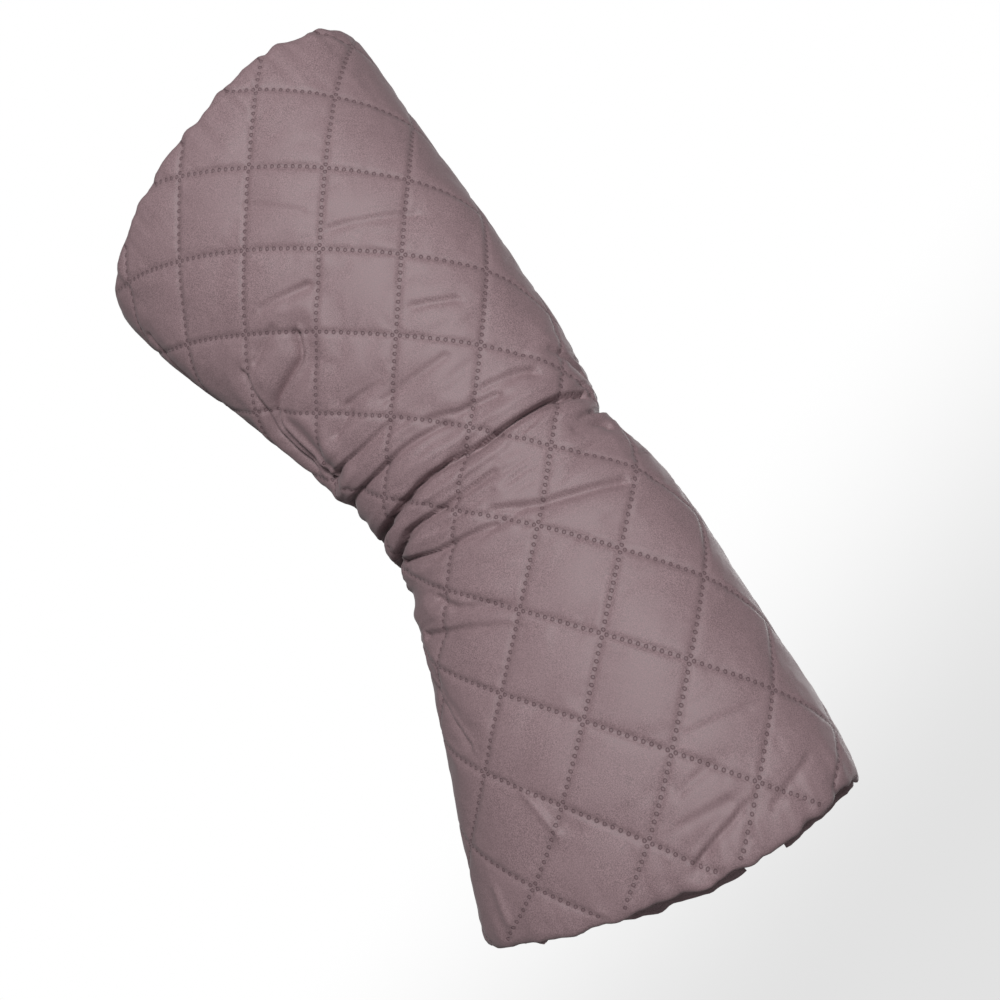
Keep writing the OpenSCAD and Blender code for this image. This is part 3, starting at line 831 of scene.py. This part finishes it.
def placket_piece(name, z_low, z_high, y_low, y_high, sewing):
    """A strip of doubled face fabric along the back, pressed flat at the snaps and topstitched
    along all its edges."""
    count_u, count_v = 220, 21
    v = np.linspace(0, 1, count_v)
    z = z_low + (z_high - z_low) * v
    left = leaned(np.full(z.shape, -LEFT), z) + PLACKET_END
    right = leaned(np.full(z.shape, RIGHT), z) - PLACKET_END
    u = np.linspace(0, 1, count_u)[:, None]
    x = left[None] + (right - left)[None] * u
    z = np.repeat(z[None], count_u, 0)
    from_snap = np.min([np.hypot(x - s, z - CLOSURE_Z) for s in snap_x], 0)
    edge = np.minimum.reduce([z - z_low, z_high - z, x - left[None], right[None] - x])
    swell = 0.55 * ease((from_snap - 6.5) / 14) * ease((edge - 0.5) / 2.5) * (1 + 0.5 * wave(x / 19, 6))
    groove = 0.32 * bell(edge - TOPSTITCH, 0.8)
    pucker = 0.16 * wave(x / 1.7, 9, 2) * bell(edge - TOPSTITCH, 2.2)
    top = np.stack([x, y_high - 0.35 + swell - groove + pucker, z], -1)
    bottom = np.stack([x, y_low + 0.1 - 0.3 * swell + groove, z], -1)
    ob = closed_sheet(name, top, bottom, rim=0.9)
    out = np.zeros((count_u, count_v, 3))
    out[..., 1] = 1
    near_low = int(round(TOPSTITCH / (z_high - z_low) * (count_v - 1)))
    near_end = int(round(TOPSTITCH / np.mean(right - left) * (count_u - 1)))
    lines = [(slice(None), near_low), (slice(None), count_v - 1 - near_low),
             (near_end, slice(None)), (count_u - 1 - near_end, slice(None))]
    for line in lines:
        sewing.row(top[line] + np.array([0, 0.05, 0]), out[line])
    return ob


flap_sewing, muff_sewing = Stitches(), Stitches()
low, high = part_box("flap_placket")
flap_strip = placket_piece("flap_strip", low.z / MM, high.z / MM + 1.4, low.y / MM, high.y / MM, flap_sewing)
low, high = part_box("lower_placket")
lower_strip = placket_piece("lower_strip", low.z / MM, high.z / MM, low.y / MM, high.y / MM, muff_sewing)


# Rows of stitches hold each facing at its inner edge and close the casing of its elastic
for side in (-1, 1):
    for inset in (4, FACING_COLS - 2):
        col = COL_FROM + inset if side < 0 else COL_TO - inset
        area = (col, col, ROW_LOWER, ROW_FOLD)
        muff_sewing.row(cloth_grid(inner_depth + 0.3 + FACING_T + 0.25, *area)[0],
                        -normals[col - COL_FROM, :ROW_FOLD - ROW_LOWER + 1])


# ---------------------------------------------------------------- handlebar strap

BAR_R, STRAP_T, STRAP_W = 17.0, 2.2, 38.0
LAP = STRAP_T + 2 + 0.4


def strap_grid(turns, inner_r, thickness, width, rib=0.0, rib_pitch=1.7):
    """Top and bottom of a band that runs round the handlebar, through the given angles."""
    x = np.linspace(-width / 2, width / 2, 33)
    arc = np.concatenate([[0], np.cumsum(np.abs(np.diff(np.radians(turns))) * inner_r[:-1])])
    ribs = rib * np.cos(2 * np.pi * arc / rib_pitch)[:, None] * np.cos(np.pi * x / 2.4)[None] ** 2

    def ring(r):
        a = np.radians(turns)[:, None]
        return np.stack([x[None] + 0 * a, r * np.cos(a), r * np.sin(a)], -1)
    return ring(inner_r[:, None] + thickness + ribs), ring(inner_r[:, None] - ribs)


def strap_piece(name, start, end, step=0.0, thickness=STRAP_T, width=STRAP_W, radius=BAR_R, rib=0.12):
    count = max(24, int(abs(math.radians(end - start)) * 18 / 0.42))
    turns = np.linspace(start, end, count)
    r = radius + step * ease((-138 - turns) / 10)
    top, bottom = strap_grid(turns, r, thickness, width, rib)
    return closed_sheet(name, top, bottom, rim=min(0.8, thickness / 2))


strap = strap_piece("strap", -71, 202)
tongue = strap_piece("tongue", -72, -206, step=LAP)
loop_side = strap_piece("loop_side", 156, 199, thickness=0.9, width=32, radius=BAR_R + STRAP_T, rib=0.0)
hook_side = strap_piece("hook_side", -204, -161, thickness=0.9, width=32, radius=BAR_R + LAP - 0.95, rib=0.0)
strap_sewing, tongue_sewing = Stitches(), Stitches()
for sewing, turns, radius in ((tongue_sewing, np.linspace(-203, -162, 40), BAR_R + LAP + STRAP_T + 0.1),
                              (strap_sewing, np.linspace(150, 66, 60), BAR_R + STRAP_T + 0.1)):
    a = np.radians(turns)
    ring = np.stack([0 * a, np.cos(a), np.sin(a)], -1)
    for x in (-14.5, 14.5):
        sewing.row(ring * radius + np.array([x, 0, 0]), ring, pitch=3.0, length=2.3)
    for end in (0, -1):
        line = np.linspace(-14.5, 14.5, 12)[:, None] * np.array([[1, 0, 0]]) + ring[end] * radius
        sewing.row(line, np.repeat(ring[end][None], 12, 0), pitch=3.0, length=2.3)
flap_thread = flap_sewing.build("flap_thread")
muff_thread = muff_sewing.build("muff_thread")
strap_thread = strap_sewing.build("strap_thread")
tongue_thread = tongue_sewing.build("tongue_thread")


# ---------------------------------------------------------------- materials

def srgb(r, g, b):
    lin = lambda v: (v / 255 / 12.92) if v <= 10 else ((v / 255 + 0.055) / 1.055) ** 2.4
    return lin(r), lin(g), lin(b), 1.0


def shades(colour, *factors):
    return [tuple(c * f for c in colour[:3]) + (1.0,) for f in factors]


class Nodes:
    """Short ways to add nodes to a material or a node group."""

    def __init__(self, tree):
        self.tree = tree

    def add(self, kind, settings=(), **inputs):
        node = self.tree.nodes.new(kind)
        for name, value in dict(settings).items():
            setattr(node, name, value)
        for name, value in inputs.items():
            self.put(node, name.replace("_", " "), value)
        return node

    def put(self, node, name, value):
        socket = node.inputs[int(name)] if name.isdigit() else node.inputs[name]
        if isinstance(value, bpy.types.NodeSocket):
            self.tree.links.new(value, socket)
        else:
            socket.default_value = value

    def math(self, operation, a, b=0.0, clamp=False):
        node = self.tree.nodes.new("ShaderNodeMath")
        node.operation = operation
        node.use_clamp = clamp
        self.put(node, "0", a)
        if len(node.inputs) > 1:
            self.put(node, "1", b)
        return node.outputs[0]

    def ramp(self, value, low, high, to_low=0.0, to_high=1.0):
        node = self.add("ShaderNodeMapRange", [("interpolation_type", "SMOOTHSTEP")], Value=value,
                        From_Min=low, From_Max=high, To_Min=to_low, To_Max=to_high)
        return node.outputs[0]

    def mix(self, share, one, two):
        node = self.add("ShaderNodeMix", [("data_type", "RGBA")])
        for name, value in (("0", share), ("6", one), ("7", two)):
            self.put(node, name, value)
        return node.outputs[2]

    def noise(self, vector, scale, detail=3.0, rough=0.55):
        return self.add("ShaderNodeTexNoise", Vector=vector, Scale=scale, Detail=detail,
                        Roughness=rough).outputs["Fac"]

    def group(self, tree, **inputs):
        node = self.add("ShaderNodeGroup", [("node_tree", tree)], **inputs)
        return node.outputs


def node_group(name, inputs, outputs):
    tree = bpy.data.node_groups.new(name, "ShaderNodeTree")
    for title, kind in inputs:
        tree.interface.new_socket(title, in_out="INPUT", socket_type="NodeSocket" + kind)
    for title in outputs:
        tree.interface.new_socket(title, in_out="OUTPUT", socket_type="NodeSocketFloat")
    source = tree.nodes.new("NodeGroupInput")
    sink = tree.nodes.new("NodeGroupOutput")
    return tree, Nodes(tree), source.outputs, sink


def welded_rows_group():
    """Rows of small round welds along whole diamond counts. Counts is the place on the quilting,
    Cell a diamond's side in mm, Dots the welds along it and Size a weld's radius in mm."""
    tree, n, given, sink = node_group(
        "welded rows", [("Counts", "Vector"), ("Cell", "Float"), ("Dots", "Float"), ("Size", "Float")],
        ["Dot", "Ring", "Groove"])
    split = n.add("ShaderNodeSeparateXYZ", Vector=given["Counts"]).outputs
    pitch = n.math("DIVIDE", given["Cell"], given["Dots"])
    found = []
    for across, along in ((split[0], split[1]), (split[1], split[0])):
        off = n.math("ABSOLUTE", n.math("SUBTRACT", n.math("FRACT", n.math("ADD", across, 100.5)), 0.5))
        off = n.math("MULTIPLY", off, given["Cell"])
        step = n.math("FRACT", n.math("MULTIPLY", n.math("ADD", along, 100.0), given["Dots"]))
        step = n.math("MULTIPLY", n.math("SUBTRACT", step, 0.5), pitch)
        round_ = n.math("SQRT", n.math("ADD", n.math("POWER", off, 2.0), n.math("POWER", step, 2.0)))
        found.append((off, round_))
    off = n.math("MINIMUM", found[0][0], found[1][0])
    away = n.math("MINIMUM", found[0][1], found[1][1])
    away = n.math("DIVIDE", away, given["Size"])
    n.put(sink, "Dot", n.ramp(away, 0.85, 1.15, 1.0, 0.0))
    n.put(sink, "Ring", n.ramp(n.math("ABSOLUTE", n.math("SUBTRACT", away, 0.82)), 0.0, 0.42, 1.0, 0.0))
    n.put(sink, "Groove", n.ramp(off, 0.0, 4.5, 1.0, 0.0))
    return tree


def soft_nap_group():
    """Fine brushed nap with faint blotches. Nap is the fine grain, Blotch the broad variation."""
    tree, n, given, sink = node_group(
        "soft nap", [("Vector", "Vector"), ("Grain", "Float")], ["Nap", "Blotch"])
    nap = n.noise(given["Vector"], given["Grain"], 4.0, 0.65)
    n.put(sink, "Nap", n.ramp(nap, 0.3, 0.7))
    broad = n.noise(given["Vector"], 38.0, 3.0, 0.6)
    n.put(sink, "Blotch", n.ramp(broad, 0.3, 0.7))
    return tree


def weave_group():
    """Plain weave over a flat place in mm, with threads Pitch mm apart."""
    tree, n, given, sink = node_group("plain weave", [("Place", "Vector"), ("Pitch", "Float")], ["Thread"])
    split = n.add("ShaderNodeSeparateXYZ", Vector=given["Place"]).outputs
    waves = []
    for axis in (0, 1):
        turn = n.math("MULTIPLY", n.math("DIVIDE", split[axis], given["Pitch"]), 2 * math.pi)
        waves.append(n.math("SINE", turn))
    both = n.math("MULTIPLY", waves[0], waves[1])
    n.put(sink, "Thread", n.math("ADD", n.math("MULTIPLY", both, 0.5), 0.5))
    return tree


WELDS, NAP, WEAVE = welded_rows_group(), soft_nap_group(), weave_group()


def new_material(name):
    mat = bpy.data.materials.new(name)
    mat.use_nodes = True
    n = Nodes(mat.node_tree)
    return mat, n, mat.node_tree.nodes["Principled BSDF"]


def here(n):
    return n.add("ShaderNodeTexCoord").outputs["Object"]


def attribute(n, name):
    return n.add("ShaderNodeAttribute", [("attribute_name", name)]).outputs["Vector"]


def set_bump(n, bsdf, height, strength, distance):
    bump = n.add("ShaderNodeBump", Height=height, Strength=strength, Distance=distance)
    n.put(bsdf, "Normal", bump.outputs[0])


FACE_COLOUR = srgb(143, 119, 123)


def peached_nylon(name, quilted):
    """Face fabric: brushed nylon with a soft sheen and, on the quilting, rows of small welds, with painted
    shade along the sunken rows and round the sunken rim of each weld.
    """
    mat, n, bsdf = new_material(name)
    nap = n.group(NAP, Vector=here(n), Grain=1500.0)
    dark, base, light = shades(FACE_COLOUR, 0.58, 0.98, 1.34)
    colour = n.mix(nap["Nap"], dark, light)
    colour = n.mix(n.math("MULTIPLY", nap["Blotch"], 0.45), colour, base)
    height = n.math("MULTIPLY", nap["Nap"], 0.08)
    if quilted:
        welds = n.group(WELDS, Counts=attribute(n, "quilt"), Cell=CELL, Dots=11.0, Size=1.2)
        # painted shade: the colour darkens along the sunken welded rows (Groove)
        colour = n.mix(n.math("MULTIPLY", welds["Groove"], 0.16), colour, shades(FACE_COLOUR, 0.55)[0])
        colour = n.mix(n.math("MULTIPLY", welds["Dot"], 0.35), colour, srgb(98, 72, 78))
        # painted shade: a dark outline round the sunken rim of each weld (Ring); the Dot mix above darkens
        # the whole weld
        colour = n.mix(n.math("MULTIPLY", welds["Ring"], 0.48), colour, srgb(66, 42, 48))
        height = n.math("SUBTRACT", height, n.math("MULTIPLY", welds["Ring"], 0.6))
        height = n.math("SUBTRACT", height, n.math("MULTIPLY", welds["Dot"], 0.4))
        height = n.math("SUBTRACT", height, n.math("MULTIPLY", welds["Groove"], 0.6))
    n.put(bsdf, "Base Color", colour)
    n.put(bsdf, "Roughness", n.ramp(nap["Nap"], 0.0, 1.0, 0.50, 0.66))
    bsdf.inputs["Sheen Weight"].default_value = 0.16
    bsdf.inputs["Sheen Roughness"].default_value = 0.4
    bsdf.inputs["Sheen Tint"].default_value = (1.0, 0.93, 0.94, 1.0)
    set_bump(n, bsdf, height, 0.55, 0.0006)
    return mat


def plush(name):
    """Deep soft pile."""
    mat, n, bsdf = new_material(name)
    base = srgb(230, 219, 213)
    pile = n.noise(here(n), 420.0, 5.0, 0.7)
    tuft = n.noise(here(n), 130.0, 3.0, 0.6)
    both = n.math("MULTIPLY", n.math("ADD", pile, tuft), 0.5)
    n.put(bsdf, "Base Color", n.mix(n.ramp(both, 0.35, 0.65), shades(base, 0.78)[0], shades(base, 1.1)[0]))
    n.put(bsdf, "Roughness", n.ramp(pile, 0.3, 0.7, 0.85, 1.0))
    bsdf.inputs["Sheen Weight"].default_value = 0.6
    bsdf.inputs["Sheen Roughness"].default_value = 0.5
    set_bump(n, bsdf, both, 0.9, 0.002)
    return mat


def woven(name, colour, pitch, roughness, rough_spread=0.08, depth=0.0002):
    """Plain-woven tape or webbing over the piece's own flat place."""
    mat, n, bsdf = new_material(name)
    thread = n.group(WEAVE, Place=attribute(n, "lay"), Pitch=pitch)["Thread"]
    nap = n.group(NAP, Vector=here(n), Grain=900.0)["Nap"]
    dark, light = shades(colour, 0.62, 1.12)
    n.put(bsdf, "Base Color", n.mix(n.math("MULTIPLY", n.math("ADD", thread, nap), 0.5), dark, light))
    n.put(bsdf, "Roughness", n.ramp(nap, 0.0, 1.0, roughness - rough_spread, roughness + rough_spread))
    bsdf.inputs["Sheen Weight"].default_value = 0.2
    set_bump(n, bsdf, thread, 0.6, depth)
    return mat


def fuzzy(name, colour, scale):
    """Hook or loop patch."""
    mat, n, bsdf = new_material(name)
    tufts = n.add("ShaderNodeTexVoronoi", Vector=here(n), Scale=scale).outputs["Distance"]
    n.put(bsdf, "Base Color", n.mix(n.ramp(tufts, 0.1, 0.7), shades(colour, 1.2)[0], shades(colour, 0.5)[0]))
    n.put(bsdf, "Roughness", n.ramp(tufts, 0.0, 0.8, 0.7, 0.95))
    set_bump(n, bsdf, n.math("SUBTRACT", 1.0, tufts), 0.8, 0.0005)
    return mat


def nickel(name):
    """Plated snap metal, with fine handling marks and a darker tone in random patches."""
    mat, n, bsdf = new_material(name)
    marks = n.noise(here(n), 2600.0, 4.0, 0.7)
    tarnish = n.noise(here(n), 260.0, 3.0, 0.6)
    base = srgb(196, 192, 186)
    n.put(bsdf, "Base Color", n.mix(n.ramp(tarnish, 0.35, 0.75), base, shades(base, 0.72)[0]))
    n.put(bsdf, "Roughness", n.ramp(marks, 0.3, 0.7, 0.20, 0.36))
    bsdf.inputs["Metallic"].default_value = 1.0
    set_bump(n, bsdf, marks, 0.08, 0.0002)
    return mat


def sewing_thread(name, colour):
    mat, n, bsdf = new_material(name)
    twist = n.noise(here(n), 3200.0, 2.0, 0.5)
    n.put(bsdf, "Base Color", n.mix(twist, shades(colour, 0.7)[0], shades(colour, 1.2)[0]))
    bsdf.inputs["Roughness"].default_value = 0.55
    set_bump(n, bsdf, twist, 0.4, 0.0002)
    return mat


quilted_nylon = peached_nylon("quilted_nylon", quilted=True)
plain_nylon = peached_nylon("plain_nylon", quilted=False)
plush_pile = plush("plush_pile")
ribbed_elastic = woven("ribbed_elastic", srgb(224, 220, 212), 0.9, 0.75)
webbing = woven("webbing", srgb(74, 66, 70), 1.2, 0.6, depth=0.0003)
label_satin = woven("label_satin", srgb(236, 234, 230), 0.45, 0.4, depth=0.0001)
loop_pile = fuzzy("loop_pile", srgb(96, 86, 90), 900.0)
hook_face = fuzzy("hook_face", srgb(70, 62, 66), 700.0)
snap_metal = nickel("snap_metal")
thread_mauve = sewing_thread("thread_mauve", srgb(138, 118, 124))
thread_dark = sewing_thread("thread_dark", srgb(86, 76, 80))


# ---------------------------------------------------------------- what each piece is

def finish_piece(ob, body, mat, replaced=()):
    ob.data.materials.append(mat)
    if replaced:
        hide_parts(*replaced)
    if body == "fold":
        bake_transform(ob)
    else:
        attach(ob, body)


finish_piece(quilted_front, "muff", quilted_nylon,
             ("outer_shell", "wadding", "left_hem_elastic", "right_hem_elastic"))
finish_piece(quilted_flap, "fold", quilted_nylon,
             ("flap_shell", "flap_wadding", "flap_left_elastic", "flap_right_elastic"))
finish_piece(linings[""], "muff", plush_pile, ("plush_lining",))
finish_piece(linings["flap_"], "fold", plush_pile, ("flap_lining",))
for (part, side), piece in facings.items():
    word = "left" if side < 0 else "right"
    node = f"flap_{word}_facing" if part else f"{word}_hem_facing"
    finish_piece(piece, "fold" if part else "muff", plain_nylon, (node,))
finish_piece(elastic_band, "muff", ribbed_elastic, ("waist_elastic",))
finish_piece(care_tag, "muff", label_satin, ("care_label",))
finish_piece(flap_strip, "flap", plain_nylon, ("flap_placket", "flap_placket_tape"))
finish_piece(lower_strip, "muff", plain_nylon, ("lower_placket", "lower_placket_tape"))
finish_piece(strap, "muff", webbing, ("handle_strap",))
finish_piece(tongue, "tongue", webbing, ("strap_tongue",))
finish_piece(loop_side, "muff", loop_pile, ("loop_patch",))
finish_piece(hook_side, "tongue", hook_face, ("hook_patch",))
finish_piece(flap_thread, "flap", thread_mauve)
finish_piece(muff_thread, "muff", thread_mauve)
finish_piece(strap_thread, "muff", thread_dark)
finish_piece(tongue_thread, "tongue", thread_dark)
for node in ("snap_caps", "snap_sockets", "snap_studs", "stud_rivets"):
    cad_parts[node].data.materials.clear()
    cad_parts[node].data.materials.append(snap_metal)


# ---------------------------------------------------------------- camera and light

def look_from(azimuth, elevation, distance, aim, roll, lens):
    a, e = math.radians(azimuth), math.radians(elevation)
    back = Vector((math.sin(a) * math.cos(e), -math.cos(a) * math.cos(e), math.sin(e)))
    right = Vector((0, 0, 1)).cross(back).normalized()
    up = back.cross(right)
    r = math.radians(roll)
    turned_right = right * math.cos(r) + up * math.sin(r)
    turned_up = up * math.cos(r) - right * math.sin(r)
    data = bpy.data.cameras.new("camera")
    data.lens = lens
    data.sensor_width = 36
    data.clip_end = 50
    cam = bpy.data.objects.new("camera", data)
    bpy.context.scene.collection.objects.link(cam)
    place = Vector(aim) + turned_right * 0.0094 - turned_up * 0.0073 + back * distance
    turn = Matrix((turned_right, turned_up, back)).transposed().to_4x4()
    cam.matrix_world = Matrix.Translation(place) @ turn
    bpy.context.scene.camera = cam


look_from(azimuth=14.0, elevation=8.2, distance=1.185, aim=(0, -0.010, -0.060), roll=54.6, lens=68.2)


def soft_light(name, location, size, watts, aim=(0, 0, -0.06)):
    data = bpy.data.lights.new(name, "AREA")
    data.shape = "DISK"
    data.size = size
    data.energy = watts
    ob = bpy.data.objects.new(name, data)
    ob.location = location
    ob.rotation_euler = (Vector(aim) - Vector(location)).to_track_quat("-Z", "Y").to_euler()
    bpy.context.scene.collection.objects.link(ob)


soft_light("key", (-0.46, -1.95, 0.36), 0.6, 33)
soft_light("fill", (1.3, -1.5, 0.2), 1.4, 3)
soft_light("back", (0.2, 1.9, 0.9), 1.6, 16)

# A pale wall, with shade painted on it darker towards the right; the object sees much less of it than the
# camera
world = bpy.data.worlds.new("studio")
bpy.context.scene.world = world
world.use_nodes = True
w = Nodes(world.node_tree)
seen = w.add("ShaderNodeLightPath").outputs["Is Camera Ray"]
facing = w.add("ShaderNodeSeparateXYZ", Vector=w.add("ShaderNodeTexCoord").outputs["Generated"]).outputs
facing = w.math("ADD", facing[0], w.math("MULTIPLY", facing[2], 0.3))
# painted shade: the backdrop seen by the camera darkens towards the right
wall = w.ramp(facing, -0.2, 0.02, 1.0, 0.76)
w.put(world.node_tree.nodes["Background"], "Color", (1.0, 1.0, 1.0, 1.0))
strength = w.math("ADD", w.math("MULTIPLY", seen, w.math("SUBTRACT", wall, 0.15)), 0.15)
w.put(world.node_tree.nodes["Background"], "Strength", strength)
bpy.context.scene.view_settings.view_transform = "Standard"
